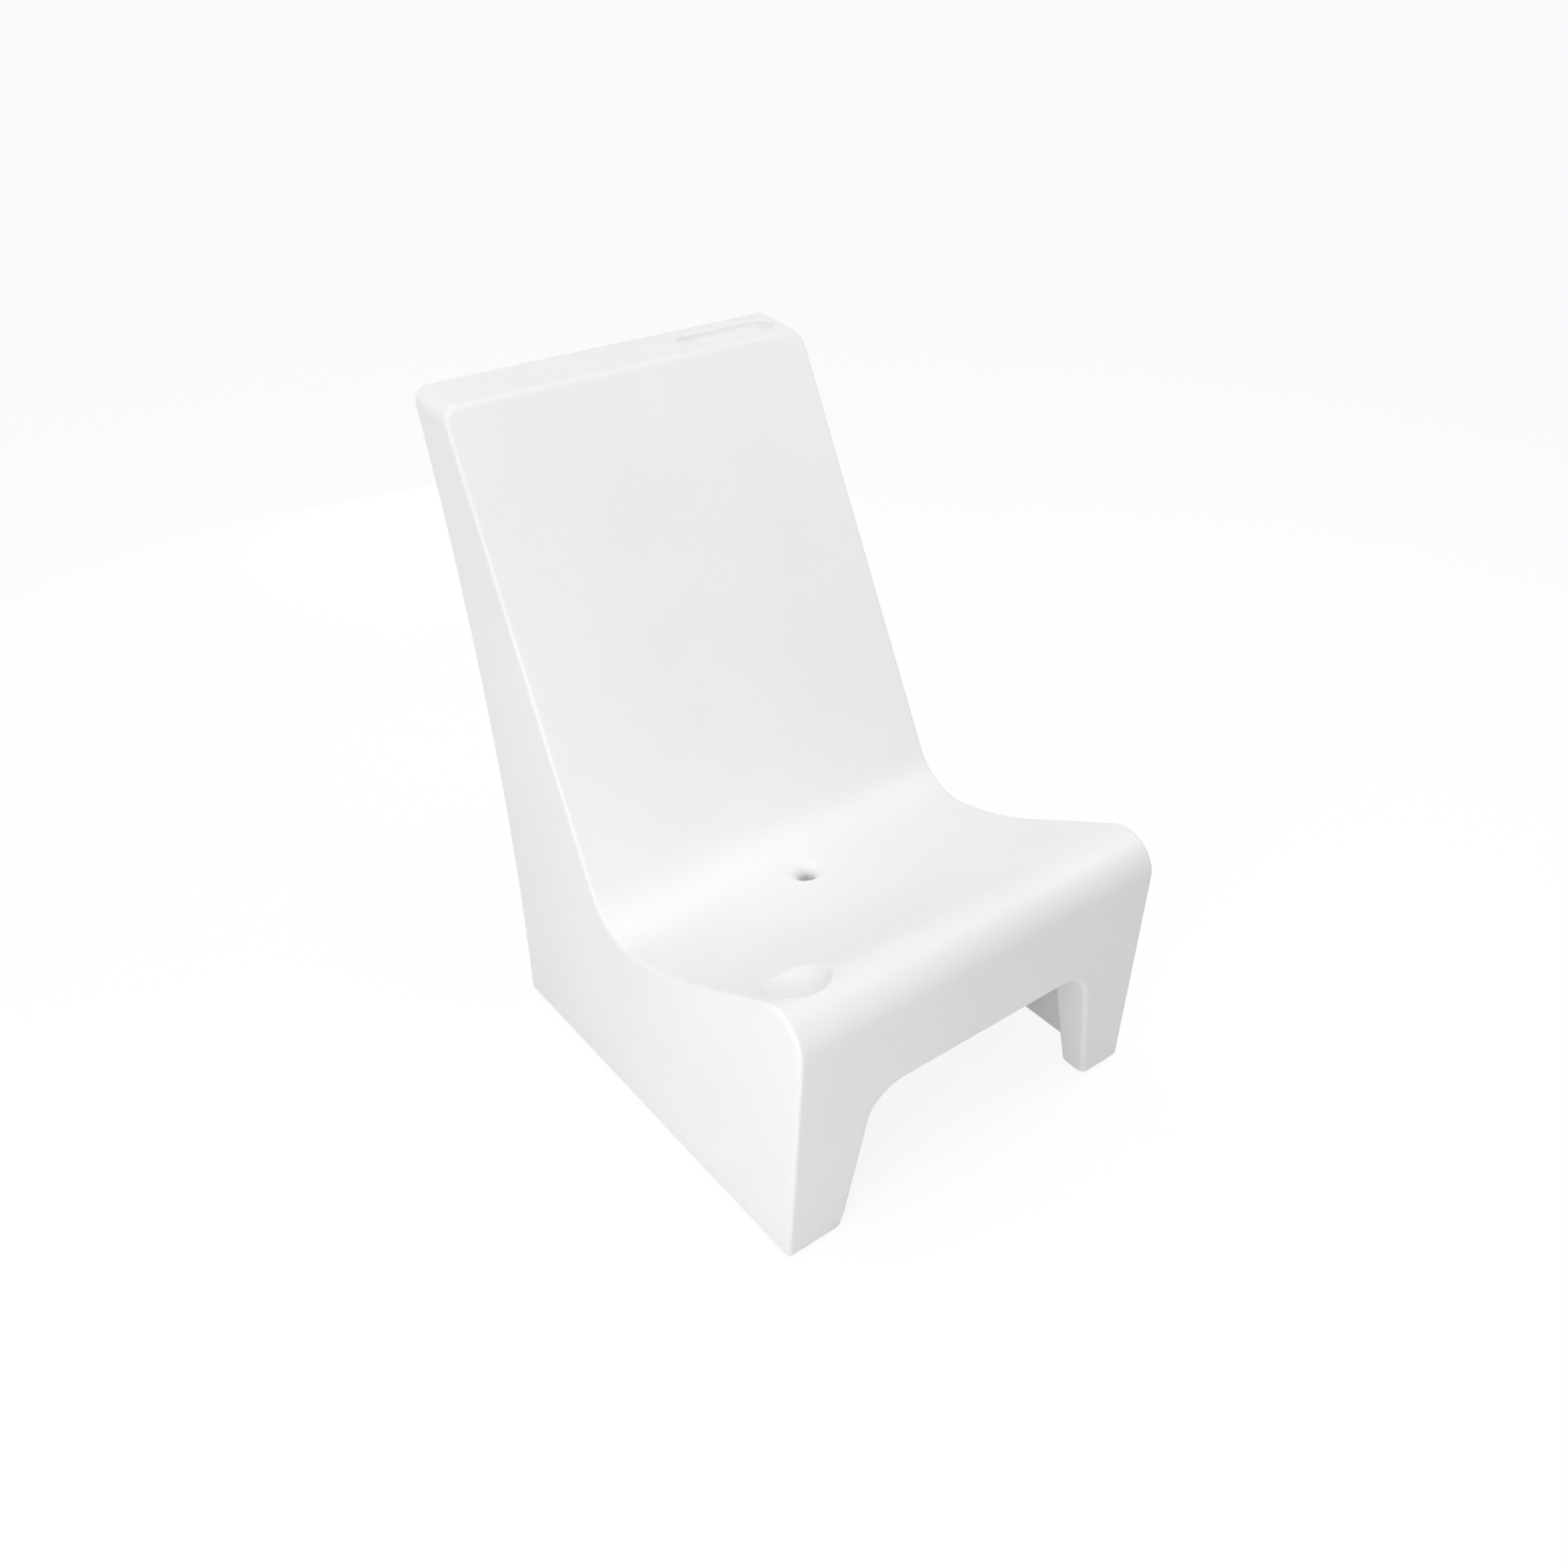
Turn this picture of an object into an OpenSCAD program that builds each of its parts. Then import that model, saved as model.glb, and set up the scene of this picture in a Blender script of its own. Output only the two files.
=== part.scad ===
// In-pool lounge chair: one hollow, water-ballasted moulding with a fill port and a drain port.
// Millimetres. X is the width, the front faces -Y, +Z is up.
// The origin is on the floor, under the middle of the chair's overall box.

/* [Overall] */
// Width of the chair at the floor
chair_w = 610; // [540:5:680]
// Depth of the footprint, from the front feet to the rear foot
foot_depth = 650; // [610:1:680]
// Draft of the outer side faces in degrees
side_draft = 0.9; // [0.2:0.01:1.5]
// Thickness of the moulded wall
wall = 5; // [4:0.5:6]

/* [Seat] */
// Height of the front crown before it is rounded
crown_h = 432; // [390:1:450]
// Forward lean of the front face in degrees
front_lean = 2.2; // [0:0.1:4]
// Radius of the rounded front crown
crown_r = 52; // [30:1:60]
// Length of the front run of the seat
seat_front_len = 311; // [280:1:340]
// Fall of the front run of the seat in degrees
seat_front_fall = 27.2; // [22:0.1:29]
// Length of the rear run of the seat
seat_rear_len = 156; // [140:1:175]
// Fall of the rear run of the seat in degrees
seat_rear_fall = 13.5; // [8:0.1:16]
// Radius that blends the two runs of the seat
seat_blend_r = 510; // [400:10:700]
// Radius of the bend between the seat and the backrest
bend_r = 93; // [80:1:115]

/* [Backrest] */
// Recline of the backrest from upright in degrees
recline = 27.7; // [20:0.1:32]
// Length of the backrest from the bend to the top
back_len = 727; // [650:1:780]
// Depth of the top face
top_depth = 89; // [86:1:110]
// Rise of the top face to the rear in degrees
top_rise = 5.3; // [0:0.1:20]
// Radius of the hollow curve of the rear face
rear_r = 2800; // [2000:10:4000]
// Radius of the top corners seen from the front
top_corner_r = 22; // [14:1:30]
// Radius of the front edge of the top face
top_front_r = 6; // [5:0.5:16]
// Radius of the rear edge of the top face
top_rear_r = 12; // [5:0.5:16]

/* [Edges] */
// Radius along the side edges
edge_r = 5.5; // [5:0.5:11]
// Radius of the front and rear edges at the floor
foot_r = 13; // [12:0.5:18]

/* [Under the seat] */
// Thickness of the side walls at the floor
side_gap = 32.5; // [28:0.5:45]
// Thickness of the front legs and of the rear wall at the floor
leg_gap = 44; // [30:0.5:50]
// Height of the double bottom between the seat and the space under it
seat_gap = 52; // [40:1:70]
// Slope of the rear faces of the front legs in degrees
leg_slope = 4; // [2:0.5:14]
// Draft of the other walls under the seat in degrees
core_draft = 4; // [2:0.5:8]
// Radius of the corners under the seat
core_r = 26; // [14:1:34]

/* [Front arch] */
// Width of the arch at the floor
arch_foot_w = 452; // [420:2:470]
// Width of the arch at its top
arch_top_w = 372; // [320:2:390]
// Height of the arch
arch_h = 225; // [180:1:235]
// Radius of the upper corners of the arch
arch_r = 54; // [30:1:70]
// Distance from the middle of the chair to the middle of the arch
arch_x = 9; // [0:0.5:12]

/* [Cup recess] */
// Diameter of the cup recess
cup_d = 88; // [70:1:90]
// Distance from the middle of the chair to the middle of the cup recess
cup_x = 239; // [200:1:245]
// Distance from the front feet to the middle of the cup recess
cup_y = 78; // [74:1:90]
// Depth of the cup recess below the seat at its middle
cup_depth = 21; // [15:1:28]

/* [Hand slot] */
// Length of the hand slot in the top face
slot_len = 162; // [120:1:180]
// Width of the hand slot
slot_w = 35; // [30:1:50]
// Depth of the hand slot
slot_depth = 13; // [10:1:25]
// Distance from the middle of the chair to the middle of the hand slot
slot_x = 183; // [130:1:196]
// Land between the hand slot and the front edge of the top face
slot_land = 24; // [17:0.5:30]

/* [Seat drain] */
// Distance from the front feet to the through-hole in the bottom of the seat
drain_y = 354; // [330:1:370]
// Diameter of the through-hole
drain_d = 24; // [16:1:34]
// Radius of the rounded mouth of the through-hole
drain_lip_r = 16; // [6:1:18]
// Height of the mouth's upper edge above the middle of the seat there
drain_lip_rise = 3; // [0:0.5:4]

/* [Ports] */
// Drop from the top of the rear face down to the fill port
fill_drop = 120.5; // [110:0.5:200]
// Height of the ballast drain port above the floor
ballast_z = 50; // [48:1:90]
// Diameter of the pocket round a plug
pocket_d = 64; // [60:1:70]
// Depth of the pocket round a plug
pocket_depth = 14; // [10:0.5:15]
// Major diameter of the port thread
thread_d = 33.2; // [26:0.1:36]
// Radial clearance between a plug and its threaded insert
thread_gap = 0.05; // [0.02:0.01:0.1]
// Radial wall of the insert's barrel
barrel_wall = 4.5; // [3:0.5:5]
// Diameter of the insert's two flanges
flange_d = 52; // [50:1:56]
// Thickness of each of the insert's flanges
flange_t = 3; // [2:0.5:4]
// Length of the barrel behind the inner flange
barrel_tail = 4; // [2:0.5:6]
// Thickness of a plug gasket
gasket_t = 2.5; // [1.5:0.5:3]
// Width of a plug gasket's ring
gasket_w = 5; // [3:0.5:6]
// Diameter of a plug's head
head_d = 48; // [46:1:54]
// Thickness of a plug's head
head_t = 8; // [6:0.5:9]
// Width of the grip bar across a plug's head
grip_w = 9; // [6:0.5:12]
// Depth of the finger pockets beside the grip bar
grip_depth = 5; // [3:0.5:5]
// Width of the rim round the finger pockets
grip_rim = 4; // [3:0.5:5]
// Length of a plug's threaded skirt below its gasket
skirt_len = 11.5; // [8:0.5:13]
// Wall of a plug's hollow skirt
skirt_wall = 3; // [2:0.5:4]

/* [Hidden] */
$fn = 64;
// Overlap that joins two solids of one piece
EPS = 0.01;
// Radial clearance of a piece that is moulded in
FIT = 0.1;
// Radial clearance of a gasket
SOFT_FIT = 0.3;
// How far a cutting solid runs past a thin wall, and past the chair
PAST = 1;
OVERRUN = 60;
// Steps across a side edge and along the hollow curve of the rear face
EDGE_STEPS = 4;
REAR_STEPS = 9;
// Smallest radius left when an outline is moved in
MIN_R = 1;
// What the flat cut of each side face takes off the rounded body
TRIM = 0.05;
SHELL_COLOUR = [0.95, 0.95, 0.95];
INSERT_COLOUR = [0.78, 0.79, 0.8];
GASKET_COLOUR = [0.08, 0.08, 0.09];
PLUG_COLOUR = [0.9, 0.9, 0.9];

// Plane geometry. A point is [y, z]; outlines run clockwise with +Y to the right.
function unit(v) = v / norm(v);
function right_of(a, b) = let (d = unit(b - a)) [d[1], -d[0]];
function turned(v, a) = [v[0] * cos(a) - v[1] * sin(a), v[0] * sin(a) + v[1] * cos(a)];
function meet(p, u, q, v) = p + u * cross(q - p, v) / cross(u, v);
function leg(angle, length) = length * [cos(angle), sin(angle)];

// A corner is [point, radius, arc steps]. Moving an outline in by d keeps every wall d thick.
function moved(cs, d) = [
    for (i = [0 : len(cs) - 1])
        let (
            p = cs[i][0],
            a = cs[(i + len(cs) - 1) % len(cs)][0],
            b = cs[(i + 1) % len(cs)][0],
            n1 = right_of(a, p),
            n2 = right_of(p, b),
            grow = cross(p - a, b - p) < 0 ? -d : d,
            r = cs[i][1]
        )
        [p + (n1 + n2) * d / (1 + n1 * n2), r == 0 ? 0 : max(r + grow, MIN_R), cs[i][2]]
];
function corner_arc(a, p, b, r, steps) =
    let (
        u = unit(a - p),
        v = unit(b - p),
        half = acos(u * v) / 2,
        centre = p + unit(u + v) * r / sin(half),
        first = p + u * r / tan(half) - centre,
        sweep = (180 - 2 * half) * sign(cross(v, u))
    )
    [for (k = [0 : steps]) centre + turned(first, sweep * k / steps)];
function rounded(cs) = [
    for (i = [0 : len(cs) - 1])
        each (cs[i][1] == 0
            ? [cs[i][0]]
            : corner_arc(cs[(i + len(cs) - 1) % len(cs)][0], cs[i][0],
                cs[(i + 1) % len(cs)][0], cs[i][1], cs[i][2]))
];

// Side profile of the chair, from the front foot over the seat and back to the rear foot
crown = [-crown_h * tan(front_lean), crown_h];
seat_mid = crown + leg(-seat_front_fall, seat_front_len);
hip = seat_mid + leg(-seat_rear_fall, seat_rear_len);
back_top = hip + leg(90 - recline, back_len);
rear_top = back_top + leg(top_rise, top_depth);
rear_foot = [foot_depth, 0];
rear_chord = rear_top - rear_foot;
rear_centre = (rear_top + rear_foot) / 2
    + right_of(rear_foot, rear_top) * sqrt(pow(rear_r, 2) - pow(norm(rear_chord) / 2, 2));
rear_sweep = 2 * asin(norm(rear_chord) / 2 / rear_r);
rear_points = [
    for (k = [1 : REAR_STEPS - 1])
        [rear_centre + turned(rear_top - rear_centre, rear_sweep * k / REAR_STEPS), 0, 0]
];
profile = concat(
    [
        [[0, 0], foot_r, 4],
        [crown, crown_r, 10],
        [seat_mid, seat_blend_r, 4],
        [hip, bend_r, 9],
        [back_top, top_front_r, 5],
        [rear_top, top_rear_r, 5]
    ],
    rear_points,
    [[rear_foot, foot_r, 4]]
);
outline = rounded(profile);
box_y = [min([for (p = outline) p[0]]), max([for (p = outline) p[0]])];
mid_y = (box_y[0] + box_y[1]) / 2;

// Profile of the open space under the seat. Its top runs under the seat and the backrest at one gap.
front_dir = leg(90 - leg_slope, 1);
rear_dir = leg(90 + core_draft, 1);
core_front = [leg_gap, 0];
core_rear = [foot_depth - leg_gap, 0];
ceiling = moved(profile, seat_gap);
core = [
    [core_front - front_dir * OVERRUN / front_dir[1], core_r, 2],
    [meet(core_front, front_dir, ceiling[2][0], seat_mid - crown), core_r, 6],
    ceiling[2],
    ceiling[3],
    [meet(core_rear, rear_dir, ceiling[3][0], back_top - hip), core_r, 6],
    [core_rear - rear_dir * OVERRUN / rear_dir[1], core_r, 2]
];

// Seat height at a distance y from the front feet, read off the rounded outline
function seat_z(y) = max([
    for (i = [0 : len(outline) - 2])
        let (a = outline[i], b = outline[i + 1])
        if (a[0] <= y && y < b[0] && a[0] < b[0]) a[1] + (b[1] - a[1]) * (y - a[0]) / (b[0] - a[0])
]);
drain_z = seat_z(drain_y);
fill_z = rear_top[1] - fill_drop;
cup_floor = seat_z(cup_y) - cup_depth;
core_w = chair_w - 2 * side_gap;

// Port stack, measured outwards from the floor of a pocket
thread_r = thread_d / 2;
insert_bore_r = thread_r + thread_gap;
barrel_r = insert_bore_r + barrel_wall;
gasket_z = flange_t;
head_z = gasket_z + gasket_t;

// Everything between two drafted planes that stand foot_w apart at the floor
module between_sides(foot_w, draft) {
    low = -2 * OVERRUN;
    high = crown_h + back_len;
    reach = foot_depth + back_len;
    rotate([90, 0, 0])
        translate([0, 0, -reach])
            linear_extrude(2 * reach)
                polygon([
                    for (s = [[-1, low], [-1, high], [1, high], [1, low]])
                        [s[0] * (foot_w / 2 - s[1] * tan(draft)), s[1]]
                ]);
}

// A space that runs across the chair, with drafted flat sides
module space_across(cs, foot_w, draft) {
    intersection() {
        rotate([90, 0, 90])
            translate([0, 0, -foot_w])
                linear_extrude(2 * foot_w)
                    polygon(rounded(cs));
        between_sides(foot_w, draft);
    }
}

// Triangles from one point of an outline to all points from there on to another one
function fan(from, to, n) = [
    for (i = [1 : (to - from + n) % n - 1])
        [from, (from + i) % n, (from + i + 1) % n]
];
// Number of outline points before corner i
function points_to(cs, i) = i == 0 ? 0 : points_to(cs, i - 1) + cs[i - 1][2] + 1;

// A body that runs across the chair, with drafted sides and rounded side edges.
// Its ends are fans from the rear foot and from the end of the bend between seat and backrest.
module across(cs, foot_w, draft, r, steps) {
    insets = [for (k = [0 : steps]) r * (1 - cos(90 * k / steps))];
    backs = [for (k = [0 : steps]) r * (1 - sin(90 * k / steps))];
    order = concat([for (k = [steps : -1 : 0]) [-1, k]], [for (k = [0 : steps]) [1, k]]);
    points = [
        for (o = order)
            for (p = rounded(moved(cs, insets[o[1]])))
                [o[0] * (foot_w / 2 - p[1] * tan(draft) - backs[o[1]]), p[0], p[1]]
    ];
    n = len(rounded(cs));
    last = len(order) - 1;
    bend_end = points_to(cs, 4) - 1;
    foot_start = points_to(cs, len(cs) - 1);
    end = concat(fan(bend_end, foot_start, n), fan(foot_start, bend_end, n));
    faces = concat(
        [for (t = end) [t[2], t[1], t[0]]],
        [for (t = end) [for (v = t) last * n + v]],
        [
            for (j = [0 : last - 1])
                for (i = [0 : n - 1])
                    for (t = [[i, (i + 1) % n, n + (i + 1) % n], [i, n + (i + 1) % n, n + i]])
                        [for (v = t) j * n + v]
        ]
    );
    polyhedron(points = points, faces = faces);
}

// What the two top corners lose, seen along the top face
module top_corners(r, inset) {
    centre = back_top + right_of(back_top, rear_top) * (r + inset);
    half = chair_w / 2 - inset - r - centre[1] * tan(side_draft);
    skew = atan(sin(top_rise) * tan(side_draft));
    big = r + OVERRUN;
    step = 15;
    past_in = PAST * cos(step / 2);
    past_out = PAST * sin(step / 2);
    for (s = [-1, 1])
        translate([s * half, centre[0], centre[1]])
            rotate([top_rise, 0, s * skew])
                rotate([90, 0, 0])
                    translate([0, 0, -top_depth - OVERRUN])
                        linear_extrude(top_depth + 2 * OVERRUN)
                            polygon([
                                for (p = concat(
                                    [[big, -past_in], [big, big], [-past_in, big]],
                                    [[-past_in, r + past_out]],
                                    [for (a = [90 - step : -step : step]) r * [cos(a), sin(a)]],
                                    [[r + past_out, -past_in]]
                                ))
                                    [s * p[0], p[1]]
                            ]);
}

// The front arch, grown on all sides by grow
module arch(grow) {
    foot = [arch_foot_w / 2, 0];
    top = [arch_top_w / 2, arch_h];
    side = unit(foot - top);
    cs = [
        [foot + side * OVERRUN, 0, 0],
        [[-foot[0], 0] + [-side[0], side[1]] * OVERRUN, 0, 0],
        [[-top[0], top[1]], arch_r, 8],
        [top, arch_r, 8]
    ];
    translate([arch_x, leg_gap + arch_h * tan(leg_slope) + OVERRUN / 2, 0])
        rotate([90, 0, 0])
            linear_extrude(leg_gap + arch_h * tan(leg_slope) + 2 * OVERRUN)
                polygon(rounded(moved(cs, -grow)));
}

// The cup recess, with a level floor
module cup_recess(grow) {
    translate([-cup_x, cup_y, cup_floor - grow])
        cylinder(h = crown_h, d = cup_d + 2 * grow);
}

// The hand slot, square to the top face
module hand_slot(grow) {
    r = slot_w / 2 + grow;
    reach = slot_len / 2 - slot_w / 2;
    place = back_top + leg(top_rise, slot_land + slot_w / 2);
    translate([slot_x, place[0], place[1]])
        rotate([top_rise, 0, 0])
            translate([0, 0, -slot_depth - grow]) {
                for (s = [-1, 1])
                    translate([s * reach, 0, 0])
                        cylinder(h = slot_depth + OVERRUN, r = r);
                translate([-reach, -r, 0])
                    cube([2 * reach, 2 * r, slot_depth + OVERRUN]);
            }
}

// The through-hole at the bottom of the seat, with a rounded mouth
module seat_drain(grow) {
    r = drain_d / 2 + grow;
    lip = drain_lip_r - grow;
    translate([0, drain_y, drain_z + drain_lip_rise]) {
        translate([0, 0, -seat_gap - OVERRUN])
            cylinder(h = seat_gap + 2 * OVERRUN, r = r);
        rotate_extrude()
            polygon(concat(
                [[0, -drain_lip_r], [r, -drain_lip_r]],
                [for (a = [15 : 15 : 90]) [r + lip * (1 - cos(a)), -drain_lip_r + lip * sin(a)]],
                [[r + lip, OVERRUN], [0, OVERRUN]]
            ));
    }
}

// Places its children on the rear face at height z, with local +Z pointing out of the chair
module on_rear(z) {
    y = rear_centre[0] - sqrt(pow(rear_r, 2) - pow(z - rear_centre[1], 2));
    out = unit(rear_centre - [y, z]);
    translate([0, y, z])
        rotate([atan2(-out[0], out[1]), 0, 0])
            children();
}

// Places its children on the floor of the pocket at height z, with local +Z pointing out
module in_pocket(z) {
    on_rear(z)
        translate([0, 0, -pocket_depth])
            children();
}

// Round pocket that sinks a plug below the rear face
module pocket(z, grow) {
    in_pocket(z)
        translate([0, 0, -grow])
            cylinder(h = pocket_depth + OVERRUN, d = pocket_d + 2 * grow);
}

// Hole through the pocket's floor for the threaded insert
module insert_hole(z) {
    in_pocket(z)
        translate([0, 0, -wall - PAST])
            cylinder(h = wall + 2 * PAST, r = barrel_r + FIT);
}

// Everything that the outer body loses, grown by grow on all sides
module hollows(grow) {
    space_across(moved(core, -grow), core_w + 2 * grow, core_draft);
    arch(grow);
    cup_recess(grow);
    hand_slot(grow);
    seat_drain(grow);
    pocket(fill_z, grow);
    pocket(ballast_z, grow);
}

// The space for the ballast water, one wall inside every face
module ballast_space() {
    difference() {
        space_across(moved(profile, wall), chair_w - 2 * wall, side_draft);
        top_corners(top_corner_r - wall, wall);
        hollows(wall);
    }
}

// The moulding: seat, backrest, sides, legs and rear wall in one
module seat_shell() {
    color(SHELL_COLOUR)
        translate([0, -mid_y, 0])
            difference() {
                intersection() {
                    across(profile, chair_w + 2 * TRIM, side_draft, edge_r, EDGE_STEPS);
                    between_sides(chair_w, side_draft);
                }
                top_corners(top_corner_r, 0);
                hollows(0);
                ballast_space();
                insert_hole(fill_z);
                insert_hole(ballast_z);
            }
}

// Threaded insert, moulded into the floor of a pocket and held by a flange on each side
module threaded_insert(z) {
    color(INSERT_COLOUR)
        translate([0, -mid_y, 0])
            in_pocket(z)
                rotate_extrude()
                    polygon([
                        [insert_bore_r, -wall - flange_t - barrel_tail],
                        [barrel_r, -wall - flange_t - barrel_tail],
                        [barrel_r, -wall - flange_t],
                        [flange_d / 2, -wall - flange_t],
                        [flange_d / 2, -wall],
                        [barrel_r, -wall],
                        [barrel_r, 0],
                        [flange_d / 2, 0],
                        [flange_d / 2, flange_t],
                        [insert_bore_r, flange_t]
                    ]);
}

// Flat sealing ring between the insert's flange and the plug's head
module gasket(z) {
    color(GASKET_COLOUR)
        translate([0, -mid_y, 0])
            in_pocket(z)
                translate([0, 0, gasket_z])
                    difference() {
                        cylinder(h = gasket_t, r = thread_r + SOFT_FIT + gasket_w);
                        translate([0, 0, -PAST])
                            cylinder(h = gasket_t + 2 * PAST, r = thread_r + SOFT_FIT);
                    }
}

// Plug with a hollow threaded skirt and a grip bar between two finger pockets
module plug(z) {
    color(PLUG_COLOUR)
        translate([0, -mid_y, 0])
            in_pocket(z)
                translate([0, 0, head_z])
                    difference() {
                        union() {
                            cylinder(h = head_t, d = head_d);
                            translate([0, 0, -gasket_t - skirt_len])
                                cylinder(h = gasket_t + skirt_len + EPS, r = thread_r);
                        }
                        translate([0, 0, -gasket_t - skirt_len - PAST])
                            cylinder(h = gasket_t + skirt_len + PAST, r = thread_r - skirt_wall);
                        difference() {
                            translate([0, 0, head_t - grip_depth])
                                cylinder(h = head_t, r = head_d / 2 - grip_rim);
                            translate([-grip_w / 2, -head_d / 2, 0])
                                cube([grip_w, head_d, 2 * head_t]);
                        }
                    }
}

module fill_insert() { threaded_insert(fill_z); }
module fill_gasket() { gasket(fill_z); }
module fill_plug() { plug(fill_z); }
module ballast_insert() { threaded_insert(ballast_z); }
module ballast_gasket() { gasket(ballast_z); }
module ballast_plug() { plug(ballast_z); }

seat_shell();
fill_insert();
fill_gasket();
fill_plug();
ballast_insert();
ballast_gasket();
ballast_plug();
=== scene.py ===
"""In-pool lounge chair: its moulded shell and its two screw plugs, built and dressed for rendering.

Metres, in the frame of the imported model: X is the width, the front faces -Y and +Z is up.
"""
import logging
import math
from abc import ABC, abstractmethod
from dataclasses import dataclass, field
from enum import Enum
from typing import Any, ClassVar, Iterator, Sequence, Union

import bpy
import numpy as np
from mathutils import Matrix, Vector


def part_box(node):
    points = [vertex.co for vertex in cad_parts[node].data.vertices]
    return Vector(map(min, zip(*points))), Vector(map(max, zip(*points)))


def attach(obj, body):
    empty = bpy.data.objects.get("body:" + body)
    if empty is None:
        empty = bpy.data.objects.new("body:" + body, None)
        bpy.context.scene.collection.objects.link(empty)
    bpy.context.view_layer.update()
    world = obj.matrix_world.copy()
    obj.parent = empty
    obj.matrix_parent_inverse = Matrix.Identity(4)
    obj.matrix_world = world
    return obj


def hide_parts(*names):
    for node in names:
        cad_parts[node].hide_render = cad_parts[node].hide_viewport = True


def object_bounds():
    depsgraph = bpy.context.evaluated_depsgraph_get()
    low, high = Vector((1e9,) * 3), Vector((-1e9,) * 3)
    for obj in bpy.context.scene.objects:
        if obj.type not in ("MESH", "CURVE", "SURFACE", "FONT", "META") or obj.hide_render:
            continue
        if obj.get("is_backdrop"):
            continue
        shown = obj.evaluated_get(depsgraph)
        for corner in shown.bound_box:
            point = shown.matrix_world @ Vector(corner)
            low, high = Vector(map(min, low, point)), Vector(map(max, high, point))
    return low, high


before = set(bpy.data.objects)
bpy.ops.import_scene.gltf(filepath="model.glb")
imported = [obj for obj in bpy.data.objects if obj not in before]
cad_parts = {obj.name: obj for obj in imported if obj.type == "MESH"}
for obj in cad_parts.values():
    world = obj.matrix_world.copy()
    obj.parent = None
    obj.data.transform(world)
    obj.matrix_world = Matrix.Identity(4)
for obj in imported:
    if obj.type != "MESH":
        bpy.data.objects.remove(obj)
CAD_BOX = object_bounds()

Array = np.ndarray
Points = tuple[Array, Array, Array]  # their X, their Y and their Z
Colour = tuple[float, float, float]

LOG = logging.getLogger("pool_chair")
MM = 0.001
AHEAD = 409.62 * MM  # from the front feet back to the middle of the chair's overall box
FILL_DROP = 120.5 * MM  # from the rear edge of the top face down to the middle of the fill port
BALLAST_HEIGHT = 50 * MM  # from the floor up to the middle of the ballast port
NO_LENGTH = 1e-9  # runs of an outline that are shorter than this are left out


# Plane geometry


def leg(angle: float, length: float) -> Array:
    """A run [y, z] of that length, at that angle in degrees above the horizontal."""
    return length * np.array([math.cos(math.radians(angle)), math.sin(math.radians(angle))])


def unit(v: Array) -> Array:
    """The vector at length one."""
    return v / np.linalg.norm(v)


def meet(p: Array, u: Array, q: Array, v: Array) -> Array:
    """Where the line through p along u meets the line through q along v."""
    return p + u * (cross(q - p, v) / cross(u, v))


def cross(a: Array, b: Array) -> float:
    """The turn from a to b, as the Z of their cross product."""
    return float(a[0] * b[1] - a[1] * b[0])


def ease(t: Array) -> Array:
    """A smooth step from 0 to 1 as t goes from 0 to 1."""
    t = np.clip(t, 0.0, 1.0)
    return t * t * (3.0 - 2.0 * t)


def round_meet(a: Array, b: Array, r: Union[float, Array]) -> Array:
    """Signed distance to the common part of a and b, with their shared edge rounded by r."""
    outer = np.hypot(np.maximum(a + r, 0.0), np.maximum(b + r, 0.0))
    return np.minimum(np.maximum(a, b), -r) + outer


@dataclass(frozen=True)
class Corner:
    """A corner of an outline: its point and the radius that rounds it."""

    point: Array
    radius: float = 0.0


class Outline:
    """A closed outline of straight runs joined by arcs, running clockwise."""

    def __init__(self, *corners: Corner) -> None:
        """Rounds the corners and keeps the runs and the arcs.

        Args:
            *corners: The corners in clockwise order.
        """
        self.runs: list[tuple[Array, Array]] = []
        self.arcs: list[tuple[Array, float, Array, float, float]] = []
        ends = [self._round(corners, i) for i in range(len(corners))]
        for i, (_, start) in enumerate(ends):
            self.runs.append((start, ends[(i + 1) % len(ends)][0]))

    def _round(self, corners: Sequence[Corner], i: int) -> tuple[Array, Array]:
        """Rounds one corner.

        Args:
            corners: All corners.
            i: Which one is rounded.

        Returns:
            Where the rounding starts and where it ends.
        """
        p, r = corners[i].point, corners[i].radius
        if r <= 0.0:
            return p, p
        u = unit(corners[i - 1].point - p)
        v = unit(corners[(i + 1) % len(corners)].point - p)
        half = math.acos(float(np.clip(u @ v, -1.0, 1.0))) / 2.0
        middle = unit(u + v)
        centre = p + middle * r / math.sin(half)
        back = r / math.tan(half)
        bulge = 1.0 if cross(v, u) < 0.0 else -1.0
        self.arcs.append((centre, r, -middle, math.cos(math.pi / 2.0 - half), bulge))
        return p + u * back, p + v * back

    def distance(self, a: Array, b: Array) -> Array:
        """Signed distance to the outline, negative inside.

        Args:
            a: First coordinates of the points.
            b: Second coordinates, of the same shape.

        Returns:
            One distance for each point.
        """
        best = np.full(np.broadcast(a, b).shape, np.inf)
        sign = np.ones(best.shape)
        for start, stop in self.runs:
            along = stop - start
            length = float(np.linalg.norm(along))
            if length < NO_LENGTH:
                continue
            along = along / length
            da, db = a - start[0], b - start[1]
            t = np.clip(da * along[0] + db * along[1], 0.0, length)
            away = np.hypot(da - t * along[0], db - t * along[1])
            side = np.where(along[0] * db - along[1] * da > 0.0, 1.0, -1.0)
            near = away < best
            best = np.where(near, away, best)
            sign = np.where(near, side, sign)
        for centre, r, middle, reach, bulge in self.arcs:
            da, db = a - centre[0], b - centre[1]
            out = np.hypot(da, db)
            within = da * middle[0] + db * middle[1] >= reach * out
            away = np.where(within, np.abs(out - r), np.inf)
            near = away < best
            best = np.where(near, away, best)
            sign = np.where(near, np.where(out > r, bulge, -bulge), sign)
        return best * sign


# Forms and meshes


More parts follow.
